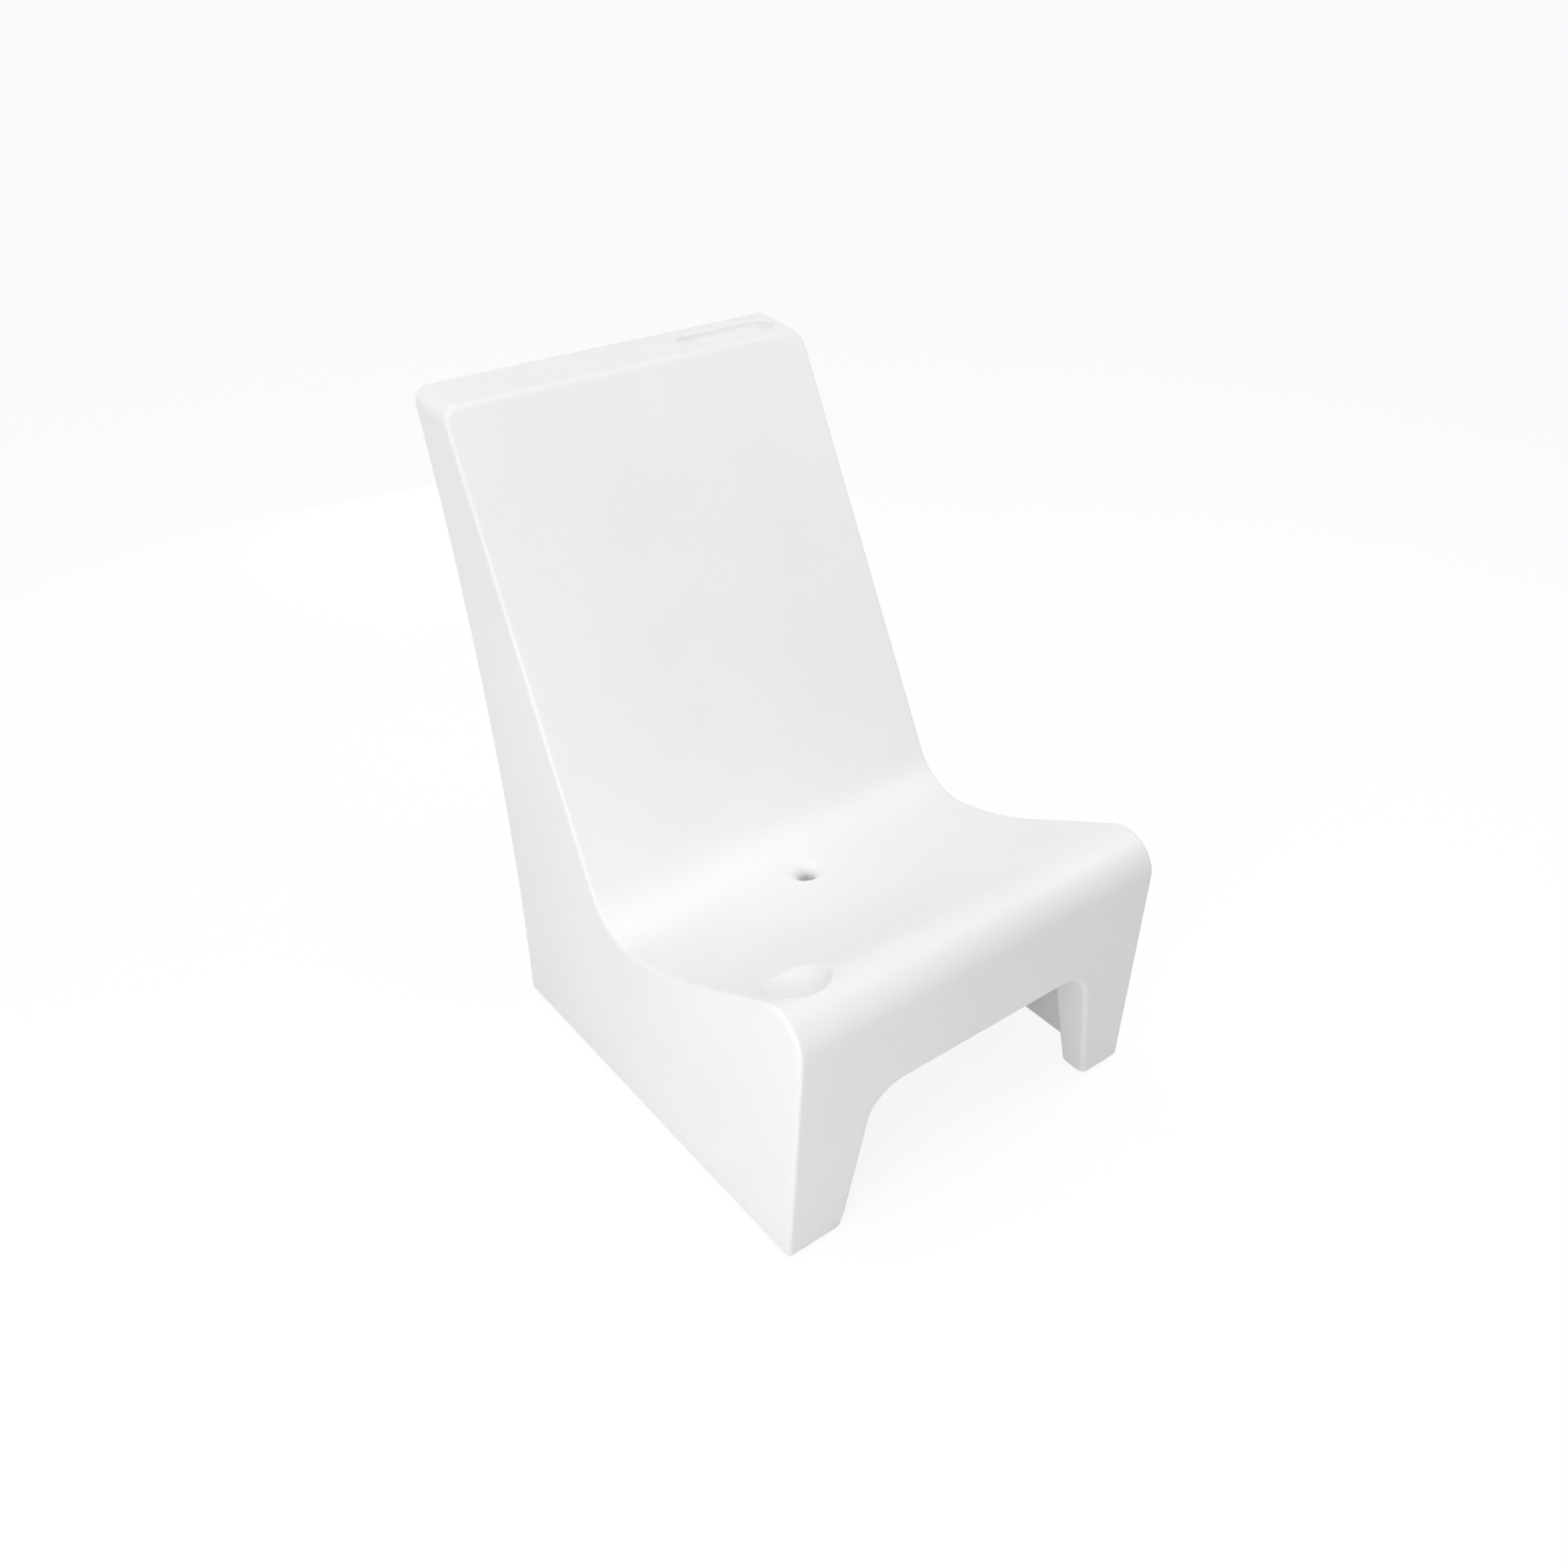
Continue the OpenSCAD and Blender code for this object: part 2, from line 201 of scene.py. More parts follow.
def put(name: str, data: bpy.types.ID) -> bpy.types.Object:
    """Makes an object and links it to the scene.

    Args:
        name: Name of the object.
        data: Its mesh, light or camera.

    Returns:
        The object.
    """
    obj = bpy.data.objects.new(name, data)
    bpy.context.scene.collection.objects.link(obj)
    return obj


class Form(ABC):
    """A closed body, given by the signed distance to its surface."""

    name: str = "form"
    farthest: float = 4.0  # most steps that a point settles at a time

    @abstractmethod
    def box(self) -> tuple[Array, Array]:
        """Lowest and highest corners of a box that holds the form."""

    @abstractmethod
    def distance(self, at: Points) -> Array:
        """Signed distance to the surface, negative inside.

        Args:
            at: The points.

        Returns:
            One distance for each point.
        """

    def slices(self, places: Array, y: Array, z: Array) -> Iterator[Array]:
        """Signed distances on the slices of a grid at these places of X, one after the other."""
        for x in places:
            yield self.distance((np.full(y.shape, x), y, z))

    def distances(self, rows: Array) -> Array:
        """Signed distance at the points that are the rows of an array."""
        return self.distance((rows[:, 0], rows[:, 1], rows[:, 2]))

    def slopes(self, points: Array, step: float) -> Array:
        """Direction in which the distance grows, from differences over a step.

        Args:
            points: One point a row.
            step: Half the distance over which the difference is taken.

        Returns:
            One unit vector a row.
        """
        rows = []
        for axis in range(3):
            move = np.zeros(3)
            move[axis] = step
            rows.append(self.distances(points + move) - self.distances(points - move))
        slope = np.stack(rows, axis=1)
        return slope / np.maximum(np.linalg.norm(slope, axis=1, keepdims=True), NO_LENGTH)

    def settle(self, points: Array, step: float, rounds: int) -> Array:
        """Moves points onto the surface.

        Args:
            points: One point a row.
            step: Step of the differences.
            rounds: How often the points are moved.

        Returns:
            The moved points.
        """
        for _ in range(rounds):
            away = np.clip(self.distances(points), -self.farthest * step, self.farthest * step)
            points = points - self.slopes(points, step) * away[:, None]
        return points


@dataclass
class Mesher:
    """Turns a form into a mesh: a net over its surface, thinned where it is flat, then settled."""

    step: float
    keep: float
    probe: float
    rounds: int = 3
    margin: int = 4

    def build(self, form: Form) -> bpy.types.Object:
        """Makes the form's mesh object.

        Args:
            form: The form to mesh.

        Returns:
            An object at the origin, linked to the scene.
        """
        axes = self._axes(form)
        points, quads = self._net(self._values(form, axes), axes)
        points = form.settle(points, self.probe, 1)
        obj = self._thin(form.name, points, quads)
        mesh = obj.data
        flat = np.empty(len(mesh.vertices) * 3)
        mesh.vertices.foreach_get("co", flat)
        points = form.settle(flat.reshape(-1, 3), self.probe, self.rounds)
        low, high = form.box()
        points = np.clip(points, low, high)
        mesh.vertices.foreach_set("co", points.ravel())
        mesh.shade_smooth()
        mesh.normals_split_custom_set_from_vertices(form.slopes(points, self.probe).tolist())
        mesh.update()
        return obj

    def _axes(self, form: Form) -> list[Array]:
        """Grid lines of the three axes, a little past the form's box.

        Args:
            form: The form to mesh.

        Returns:
            The lines of X, of Y and of Z.
        """
        low, high = form.box()
        axes = []
        for a, b in zip(low, high):
            count = int(math.ceil((b - a) / self.step)) + self.margin
            middle, half = (a + b) / 2.0, count * self.step / 2.0
            axes.append(np.linspace(middle - half, middle + half, count + 1))
        return axes

    @staticmethod
    def _values(form: Form, axes: list[Array]) -> Array:
        """Signed distances at all grid points, one slice across X after the other."""
        y, z = np.meshgrid(axes[1], axes[2], indexing="ij")
        return np.stack([row.astype(np.float32) for row in form.slices(axes[0], y, z)])

    @staticmethod
    def _net(values: Array, axes: list[Array]) -> tuple[Array, Array]:
        """Net of four-sided faces: one point in each cell that the surface passes through.

        Args:
            values: Signed distances at the grid points.
            axes: The grid lines.

        Returns:
            The points and the faces.
        """
        inside = values < 0.0
        nx, ny, nz = values.shape
        corners = [(i, j, k) for i in (0, 1) for j in (0, 1) for k in (0, 1)]
        count = np.zeros((nx - 1, ny - 1, nz - 1), np.uint8)
        for i, j, k in corners:
            count += inside[i : nx - 1 + i, j : ny - 1 + j, k : nz - 1 + k]
        active = (count > 0) & (count < 8)
        cells = np.nonzero(active)
        number = np.full(active.shape, -1, np.int32)
        number[cells] = np.arange(len(cells[0]), dtype=np.int32)
        total = np.zeros((len(cells[0]), 3))
        hits = np.zeros(len(cells[0]))
        for a in corners:
            for axis in range(3):
                if a[axis]:
                    continue
                b = tuple(v + (n == axis) for n, v in enumerate(a))
                va = values[cells[0] + a[0], cells[1] + a[1], cells[2] + a[2]].astype(float)
                vb = values[cells[0] + b[0], cells[1] + b[1], cells[2] + b[2]].astype(float)
                crossed = (va < 0.0) != (vb < 0.0)
                share = np.where(crossed, va / np.where(crossed, va - vb, 1.0), 0.0)
                place = np.array(a, float)[None, :] + share[:, None] * (np.arange(3) == axis)
                total += np.where(crossed[:, None], place, 0.0)
                hits += crossed
        place = total / hits[:, None] + np.stack(cells, axis=1)
        points = np.stack(
            [np.interp(place[:, n], np.arange(len(axes[n])), axes[n]) for n in range(3)], axis=1
        )
        faces = []
        for axis in range(3):
            one, two = (axis + 1) % 3, (axis + 2) % 3
            low = np.take(inside, range(values.shape[axis] - 1), axis)
            high = np.take(inside, range(1, values.shape[axis]), axis)
            change = low != high
            for other in (one, two):
                rim = [slice(None)] * 3
                rim[other] = [0, values.shape[other] - 1]
                change[tuple(rim)] = False
            at = np.stack(np.nonzero(change), axis=1)
            ring = []
            for back_one, back_two in ((1, 1), (0, 1), (0, 0), (1, 0)):
                cell = at.copy()
                cell[:, one] -= back_one
                cell[:, two] -= back_two
                ring.append(number[cell[:, 0], cell[:, 1], cell[:, 2]])
            quad = np.stack(ring, axis=1)
            outward = low[tuple(at.T)]
            faces.append(np.where(outward[:, None], quad, quad[:, ::-1]))
        return points, np.concatenate(faces)

    def _thin(self, name: str, points: Array, quads: Array) -> bpy.types.Object:
        """Makes an object of the net and thins it where it is flat.

        Args:
            name: Name of the object and of its mesh.
            points: Points of the net.
            quads: Faces of the net.

        Returns:
            The thinned object.
        """
        mesh = bpy.data.meshes.new(name)
        mesh.vertices.add(len(points))
        mesh.vertices.foreach_set("co", points.ravel())
        mesh.loops.add(quads.size)
        mesh.loops.foreach_set("vertex_index", quads.ravel().astype(np.int32))
        mesh.polygons.add(len(quads))
        mesh.polygons.foreach_set("loop_start", np.arange(0, quads.size, 4, dtype=np.int32))
        mesh.update(calc_edges=True)
        mesh.validate()
        obj = put(name, mesh)
        if self.keep < 1.0:
            modifier = obj.modifiers.new("thin", "DECIMATE")
            modifier.ratio = self.keep
            modifier.use_collapse_triangulate = True
            bpy.context.view_layer.update()
            thinned = bpy.data.meshes.new_from_object(
                obj.evaluated_get(bpy.context.evaluated_depsgraph_get())
            )
            obj.modifiers.clear()
            obj.data = thinned
            bpy.data.meshes.remove(mesh)
            thinned.name = name
        return obj


# The moulded shell


@dataclass
class SideProfile:
    """Profile of the chair seen from its side, measured from the front feet."""

    crown_height: float = 432 * MM
    front_lean: float = 2.2
    crown_radius: float = 52 * MM
    seat_front: float = 311 * MM
    seat_front_fall: float = 27.2
    seat_rear: float = 156 * MM
    seat_rear_fall: float = 13.5
    seat_blend: float = 510 * MM
    bend_radius: float = 93 * MM
    recline: float = 27.7
    back_length: float = 727 * MM
    top_depth: float = 89 * MM
    top_rise: float = 5.3
    foot_depth: float = 650 * MM
    rear_radius: float = 2800 * MM
    past_top: float = 150 * MM
    past_foot: float = 60 * MM
    tangent_low: float = 20 * MM
    tangent_high: float = 10 * MM

    def __post_init__(self) -> None:
        """Works out the corners and the hollow curve of the rear face."""
        lean = math.tan(math.radians(self.front_lean))
        self.crown = np.array([-self.crown_height * lean, self.crown_height])
        self.seat_mid = self.crown + leg(-self.seat_front_fall, self.seat_front)
        self.hip = self.seat_mid + leg(-self.seat_rear_fall, self.seat_rear)
        self.back_top = self.hip + leg(90.0 - self.recline, self.back_length)
        self.rear_top = self.back_top + leg(self.top_rise, self.top_depth)
        self.rear_foot = np.array([self.foot_depth, 0.0])
        chord = self.rear_top - self.rear_foot
        half = np.linalg.norm(chord) / 2.0
        right = np.array([unit(chord)[1], -unit(chord)[0]])
        middle = (self.rear_top + self.rear_foot) / 2.0
        self.rear_centre = middle + right * math.sqrt(self.rear_radius**2 - half**2)

    def rear_point(self, z: float) -> Array:
        """Point of the rear face at a height above the floor."""
        drop = z - self.rear_centre[1]
        return np.array([self.rear_centre[0] - math.sqrt(self.rear_radius**2 - drop**2), z])

    def outline(self) -> Outline:
        """The profile drawn on past the top face and the floor, which are cut on their own.

        Returns:
            The outline.
        """
        low = self.rear_point(self.tangent_low)
        high = self.rear_point(self.rear_top[1] + self.tangent_high)
        low_run = unit(np.array([self.rear_centre[1] - low[1], low[0] - self.rear_centre[0]]))
        high_run = unit(np.array([self.rear_centre[1] - high[1], high[0] - self.rear_centre[0]]))
        turn = meet(low, low_run, high, high_run)
        under, level = np.array([0.0, -self.past_foot]), np.array([1.0, 0.0])
        above = np.sign(high_run[1]) * self.past_top
        return Outline(
            Corner(meet(np.zeros(2), self.crown, under, level)),
            Corner(self.crown, self.crown_radius),
            Corner(self.seat_mid, self.seat_blend),
            Corner(self.hip, self.bend_radius),
            Corner(self.back_top + leg(90.0 - self.recline, self.past_top)),
            Corner(high + high_run * above),
            Corner(turn, self.rear_radius),
            Corner(meet(low, low_run, under, level)),
        )


@dataclass
class ShellSizes:
    """Sizes of the moulded shell across its width, and of what is cut into it."""

    width: float = 610 * MM
    side_draft: float = 0.9
    edge: float = 5.5 * MM
    top_corner: float = 22 * MM
    top_front_edge: float = 6 * MM
    top_rear_edge: float = 12 * MM
    side_gap: float = 32.5 * MM
    leg_gap: float = 44 * MM
    seat_gap: float = 52 * MM
    leg_slope: float = 4.0
    core_draft: float = 4.0
    core_radius: float = 26 * MM
    core_side_radius: float = 16 * MM
    arch_foot: float = 452 * MM
    arch_top: float = 372 * MM
    arch_height: float = 225 * MM
    arch_radius: float = 54 * MM
    arch_edge: float = 7 * MM
    arch_rear_edge: float = 10 * MM
    arch_past: float = 30 * MM
    arch_x: float = 9 * MM
    past_floor: float = 60 * MM
    floor_round: float = 14 * MM
    floor_edge: float = 12 * MM
    floor_reach: float = 40 * MM
    cup_radius: float = 44 * MM
    cup_x: float = -239 * MM
    cup_y: float = 78 * MM
    cup_floor: float = 362.384 * MM
    cup_floor_radius: float = 24 * MM
    cup_lip: float = 3.5 * MM
    slot_length: float = 162 * MM
    slot_width: float = 35 * MM
    slot_depth: float = 13 * MM
    slot_x: float = 183 * MM
    slot_land: float = 24 * MM
    slot_floor_radius: float = 13 * MM
    slot_lip: float = 3.5 * MM
    drain_y: float = 354 * MM
    drain_radius: float = 12 * MM
    drain_lip: float = 20 * MM


@dataclass
class PortSizes:
    """Sizes of a screw port, in its own frame: +Z points out of the chair, from the rear face."""

    pocket_radius: float = 32 * MM
    pocket_depth: float = 14 * MM
    pocket_lip: float = 3.5 * MM
    pocket_floor_radius: float = 3 * MM
    hole_radius: float = 22.5 * MM
    chamber_radius: float = 33 * MM
    chamber_depth: float = 18 * MM
    wall: float = 5 * MM
    thread: float = 16.6 * MM
    pitch: float = 4 * MM
    thread_depth: float = 1.1 * MM
    bore: float = 16.65 * MM
    barrel: float = 21.15 * MM
    barrel_tail: float = 4 * MM
    flange: float = 26 * MM
    flange_thickness: float = 3 * MM
    gasket_inner: float = 16.9 * MM
    gasket_outer: float = 21.9 * MM
    gasket_thickness: float = 2.5 * MM
    head: float = 24 * MM
    head_thickness: float = 8 * MM
    grip_width: float = 9 * MM
    grip_depth: float = 5 * MM
    grip_rim: float = 4 * MM
    skirt: float = 11.5 * MM
    skirt_wall: float = 3 * MM
    overlap: float = 1 * MM
    thread_gap: float = 0.22
    thread_flank: float = 0.5
    neck: float = 2 * MM
    neck_fade: float = 1.5 * MM
    flute: float = 0.6 * MM
    head_edge: float = 1.8 * MM
    head_foot_edge: float = 0.7 * MM
    dish_edge: float = 1.6 * MM
    grip_edge: float = 1.4 * MM
    rim_edge: float = 0.9 * MM
    skirt_edge: float = 1.2 * MM
    hollow_edge: float = 1.5 * MM
    barrel_edge: float = 0.6 * MM
    flange_edge: float = 0.7 * MM
    groove_edge: float = 0.4 * MM
    gasket_edge: float = 0.8 * MM

    @property
    def seat(self) -> float:
        """Height of the sealing ring's outer face, on which the plug's head sits."""
        return self.flange_thickness + self.gasket_thickness

    @property
    def skirt_end(self) -> float:
        """Height of the inner end of the plug's skirt."""
        return self.flange_thickness - self.skirt

    @property
    def insert_end(self) -> float:
        """Height of the insert's inner end."""
        return -self.wall - self.flange_thickness - self.barrel_tail


@dataclass
class Port:
    """Where a port stands on the rear face."""

    name: str
    height: float
    profile: SideProfile

    def __post_init__(self) -> None:
        """Finds the point on the rear face and the direction out of the chair."""
        self.place = self.profile.rear_point(self.height)
        self.out = unit(self.profile.rear_centre - self.place)

    def matrix(self, sizes: PortSizes) -> Matrix:
        """Frame on the floor of the port's pocket, with +Z pointing out of the chair.

        Args:
            sizes: Sizes of the port.

        Returns:
            The frame as a matrix.
        """
        floor = self.place - self.out * sizes.pocket_depth
        y, z = self.out
        turn = Matrix(((1.0, 0.0, 0.0), (0.0, z, y), (0.0, -y, z))).to_4x4()
        return Matrix.Translation(Vector((0.0, floor[0] - AHEAD, floor[1]))) @ turn


class ShellForm(Form):
    """The moulding: seat, backrest, sides, legs and rear wall, with all that is cut into them."""

    name = "moulded_shell"

    def __init__(
        self, profile: SideProfile, sizes: ShellSizes, port: PortSizes, ports: Sequence[Port]
    ) -> None:
        """Draws the outlines.

        Args:
            profile: The chair seen from its side.
            sizes: Sizes of the shell.
            port: Sizes of its ports.
            ports: Where the ports stand.
        """
        self.profile, self.sizes, self.port, self.ports = profile, sizes, port, ports
        self.skin = profile.outline()
        self.core = self._core_outline()
        self.arch = self._arch_outline()

    def box(self) -> tuple[Array, Array]:
        """The CAD shell's own box, which the mesh keeps inside."""
        low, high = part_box("seat_shell")
        return np.array(low), np.array(high)

    def _core_outline(self) -> Outline:
        """Draws the side outline of the open space under the seat.

        Returns:
            The outline.
        """
        p, s = self.profile, self.sizes
        run_front, run_rear = p.seat_mid - p.crown, p.hip - p.seat_mid
        run_back = p.back_top - p.hip

        def below(point: Array, run: Array) -> Array:
            """A point moved into the moulding by the thickness of the double bottom."""
            return point + np.array([run[1], -run[0]]) / np.linalg.norm(run) * s.seat_gap

        mid = meet(below(p.seat_mid, run_front), run_front, below(p.seat_mid, run_rear), run_rear)
        hip = meet(below(p.hip, run_rear), run_rear, below(p.hip, run_back), run_back)
        front, rear = np.array([s.leg_gap, 0.0]), np.array([p.foot_depth - s.leg_gap, 0.0])
        front_run, rear_run = leg(90.0 - s.leg_slope, 1.0), leg(90.0 + s.core_draft, 1.0)
        under = s.past_floor
        return Outline(
            Corner(front - front_run * under / front_run[1]),
            Corner(meet(front, front_run, mid, run_front), s.core_radius),
            Corner(mid, p.seat_blend + s.seat_gap),
            Corner(hip, p.bend_radius + s.seat_gap),
            Corner(meet(rear, rear_run, hip, run_back), s.core_radius),
            Corner(rear - rear_run * under / rear_run[1]),
        )

    def _arch_outline(self) -> Outline:
        """Draws the front arch, seen from the front.

        Returns:
            The outline.
        """
        s = self.sizes
        foot = np.array([s.arch_foot / 2.0, 0.0])
        top = np.array([s.arch_top / 2.0, s.arch_height])
        low = foot + unit(foot - top) * s.past_floor
        mirror = np.array([-1.0, 1.0])
        return Outline(
            Corner(low * mirror),
            Corner(top * mirror, s.arch_radius),
            Corner(top, s.arch_radius),
            Corner(low),
        )

    def distance(self, at: Points) -> Array:
        """Signed distance to the shell, negative in the plastic and in its water space."""
        return self._body(at, *self._outlines(at[1], at[2]))

    def slices(self, places: Array, y: Array, z: Array) -> Iterator[Array]:
        """Signed distances on the slices, for which the side outlines are worked out once.

        Args:
            places: X of each slice.
            y: Y of a slice's points.
            z: Z of a slice's points.

        Yields:
            One distance for each point of a slice.
        """
        outlines = self._outlines(y, z)
        for x in places:
            yield self._body((np.full(y.shape, x), y, z), *outlines)

    def _outlines(self, y: Array, z: Array) -> tuple[Array, Array]:
        """Distances to the chair's own outline and to that of the space under the seat."""
        return self.skin.distance(y + AHEAD, z), self.core.distance(y + AHEAD, z)

    def _body(self, at: Points, skin: Array, core: Array) -> Array:
        """Distance to the shell: what its side outline holds, less all that is cut into it.

        Args:
            at: The points.
            skin: Distances to the chair's side outline.
            core: Distances to the outline of the space under the seat.

        Returns:
            One distance for each point.
        """
        s = self.sizes
        x, y, z = at[0], at[1] + AHEAD, at[2]
        at = (x, y, z)
        body = round_meet(skin, self._rim(at), self._rim_edge(at))
        body = round_meet(body, -z, s.floor_round)
        low = ease(1.0 - z / s.floor_reach)
        edge = s.arch_edge + (s.floor_edge - s.arch_edge) * low
        body = round_meet(body, self._walls(at, core), edge)
        body = round_meet(body, -self._cup(at), s.cup_lip)
        body = round_meet(body, -self._slot(at), s.slot_lip)
        drain = np.hypot(x, y - s.drain_y) - s.drain_radius
        body = round_meet(body, -drain, s.drain_lip)
        for port in self.ports:
            body = self._cut_port(body, port, at)
        return body

    def _walls(self, at: Points, core: Array) -> Array:
        """Distance to what the space under the seat and the front arch leave standing.

        Args:
            at: The points, with Y from the front feet.
            core: Distances to the outline of the space under the seat.

        Returns:
            One distance for each point, negative in the walls.
        """
        s = self.sizes
        x, y, z = at
        side = self._flank(at, s.width / 2.0 - s.side_gap, s.core_draft)
        space = round_meet(core, side, s.core_side_radius)
        depth = s.leg_gap + s.arch_height * math.tan(math.radians(s.leg_slope)) + s.arch_past
        arch = np.maximum(self.arch.distance(x - s.arch_x, z), y - depth)
        return round_meet(-space, -arch, s.arch_rear_edge)

    @staticmethod
    def _flank(at: Points, half: float, draft: float) -> Array:
        """Distance to two side planes, each half a width away at the floor, that lean inward."""
        a = math.radians(draft)
        return (np.abs(at[0]) - half + at[2] * math.tan(a)) * math.cos(a)

    def _top(self, at: Points) -> tuple[Array, Array]:
        """Height over the top face, and how far back along it.

        Args:
            at: The points, with Y from the front feet.

        Returns:
            The heights and the distances along.
        """
        a = math.radians(self.profile.top_rise)
        dy, dz = at[1] - self.profile.back_top[0], at[2] - self.profile.back_top[1]
        return dz * math.cos(a) - dy * math.sin(a), dy * math.cos(a) + dz * math.sin(a)

    def _rim(self, at: Points) -> Array:
        """Distance to the band that runs up one side, over the top and down the other side."""
        side = self._flank(at, self.sizes.width / 2.0, self.sizes.side_draft)
        return round_meet(side, self._top(at)[0], self.sizes.top_corner)

    def _rim_edge(self, at: Points) -> Array:
        """Radius of the edge between that band and the front and rear faces.

        Args:
            at: The points, with Y from the front feet.

        Returns:
            One radius for each point.
        """
        s = self.sizes
        over, along = self._top(at)
        top = ease(1.0 + over / s.top_corner)
        rear = ease(along / self.profile.top_depth)
        at_top = s.top_front_edge + (s.top_rear_edge - s.top_front_edge) * rear
        return s.edge + (at_top - s.edge) * top

    def _cup(self, at: Points) -> Array:
        """Distance to the space of the cup recess.

        Args:
            at: The points, with Y from the front feet.

        Returns:
            One distance for each point.
        """
        s = self.sizes
        x, y, z = at
        side = np.hypot(x - s.cup_x, y - s.cup_y) - s.cup_radius
        return round_meet(side, s.cup_floor - z, s.cup_floor_radius)

    def _slot(self, at: Points) -> Array:
        """Distance to the space of the hand slot, square to the top face.

        Args:
            at: The points, with Y from the front feet.

        Returns:
            One distance for each point.
        """
        s = self.sizes
        over, along = self._top(at)
        reach = (s.slot_length - s.slot_width) / 2.0
        off = np.maximum(np.abs(at[0] - s.slot_x) - reach, 0.0)
        side = np.hypot(off, along - s.slot_land - s.slot_width / 2.0) - s.slot_width / 2.0
        return round_meet(side, -s.slot_depth - over, s.slot_floor_radius)

    def _cut_port(self, body: Array, port: Port, at: Points) -> Array:
        """Cuts a port's pocket, and the hole for its threaded insert.

        Args:
            body: Distances before the cut.
            port: Where the port stands.
            at: The points, with Y from the front feet.

        Returns:
            Distances after the cut.
        """
        s = self.port
        dy, dz = at[1] - port.place[0], at[2] - port.place[1]
        height = dy * port.out[0] + dz * port.out[1]
        round_it = np.hypot(at[0], dy * port.out[1] - dz * port.out[0])
        pocket = round_meet(
            round_it - s.pocket_radius, -s.pocket_depth - height, s.pocket_floor_radius
        )
        wall, end = -s.pocket_depth - s.wall, -s.pocket_depth - s.chamber_depth
        hole = np.maximum(round_it - s.hole_radius, wall - s.overlap - height)
        chamber = np.maximum(round_it - s.chamber_radius, np.maximum(height - wall, end - height))
        return np.maximum(round_meet(body, -pocket, s.pocket_lip), -np.minimum(hole, chamber))


# The screw ports


class PortForm(Form):
    """A piece of a screw port, in the frame on the floor of its pocket."""

    def __init__(self, sizes: PortSizes) -> None:
        """Keeps the port's sizes."""
        self.sizes = sizes

    @staticmethod
    def _cylinder_box(radius: float, low: float, high: float) -> tuple[Array, Array]:
        """Box of a round piece of that radius between two heights."""
        return np.array([-radius, -radius, low]), np.array([radius, radius, high])

    def _ridge(self, at: Points) -> Array:
        """How far up the thread's ridge a point is, from 0 at the root to 1 on the crest.

        Args:
            at: The points.

        Returns:
            One number for each point.
        """
        s = self.sizes
        turn = at[2] / s.pitch - np.arctan2(at[1], at[0]) / (2.0 * math.pi)
        return ease((np.abs((turn % 1.0) - 0.5) * 2.0 - s.thread_gap) / s.thread_flank)


class PlugForm(PortForm):
    """Screw plug: a fluted head with a grip bar, and a hollow threaded skirt."""

    name = "plug"
    flutes: int = 24

    def box(self) -> tuple[Array, Array]:
        """Box of the plug."""
        s = self.sizes
        return self._cylinder_box(s.head, s.skirt_end, s.seat + s.head_thickness)

    def distance(self, at: Points) -> Array:
        """Signed distance to the plug's surface.

        Args:
            at: The points.

        Returns:
            One distance for each point.
        """
        s = self.sizes
        top = s.seat + s.head_thickness
        x, y, z = at
        out = np.hypot(x, y)
        flute = np.maximum(np.cos(self.flutes * np.arctan2(y, x)), 0.0) ** 2 * s.flute
        head = round_meet(out - s.head + flute, z - top, s.head_edge)
        head = round_meet(head, s.seat - z, s.head_foot_edge)
        dish = round_meet(out - s.head + s.grip_rim, top - s.grip_depth - z, s.dish_edge)
        dish = round_meet(dish, s.grip_width / 2.0 - np.abs(x), s.grip_edge)
        head = round_meet(head, -dish, s.rim_edge)
        neck = ease((z - s.flange_thickness + s.neck) / s.neck_fade)
        root = s.thread_depth * (1.0 - self._ridge(at) * (1.0 - neck))
        skirt = round_meet(out - s.thread + root, s.skirt_end - z, s.skirt_edge)
        skirt = np.maximum(skirt, z - s.seat - s.overlap)
        hollow = round_meet(out - s.thread + s.skirt_wall, z - s.seat, s.hollow_edge)
        return np.maximum(np.minimum(head, skirt), -hollow)


class InsertForm(PortForm):
    """Threaded insert, with one flange on the pocket's floor and one behind it."""

    name = "insert"

    def box(self) -> tuple[Array, Array]:
        """Box of the insert."""
        s = self.sizes
        return self._cylinder_box(s.flange, s.insert_end, s.flange_thickness)

    def distance(self, at: Points) -> Array:
        """Signed distance to the insert's surface.

        Args:
            at: The points.

        Returns:
            One distance for each point.
        """
        s = self.sizes
        x, y, z = at
        out = np.hypot(x, y)
        ends = np.maximum(s.insert_end - z, z - s.flange_thickness)
        barrel = round_meet(out - s.barrel, ends, s.barrel_edge)
        front = np.abs(z - s.flange_thickness / 2.0) - s.flange_thickness / 2.0
        back = np.abs(z + s.wall + s.flange_thickness / 2.0) - s.flange_thickness / 2.0
        for flange in (front, back):
            barrel = np.minimum(barrel, round_meet(out - s.flange, flange, s.flange_edge))
        groove = out - s.bore - s.thread_depth * self._ridge(at)
        return round_meet(barrel, -groove, s.groove_edge)


class GasketForm(PortForm):
    """Flat sealing ring between the insert and the plug's head."""

    name = "gasket"

    def box(self) -> tuple[Array, Array]:
        """Box of the ring."""
        s = self.sizes
        return self._cylinder_box(s.gasket_outer, s.flange_thickness, s.seat)

    def distance(self, at: Points) -> Array:
        """Signed distance to the ring's surface.

        Args:
            at: The points.

        Returns:
            One distance for each point.
        """
        s = self.sizes
        out = np.hypot(at[0], at[1])
        half = s.gasket_thickness / 2.0
        level = np.abs(at[2] - s.flange_thickness - half) - half
        ring = round_meet(out - s.gasket_outer, s.gasket_inner - out, s.gasket_edge)
        return round_meet(ring, level, s.gasket_edge)


# Finishes

Value = Union[float, Colour, "Socket"]


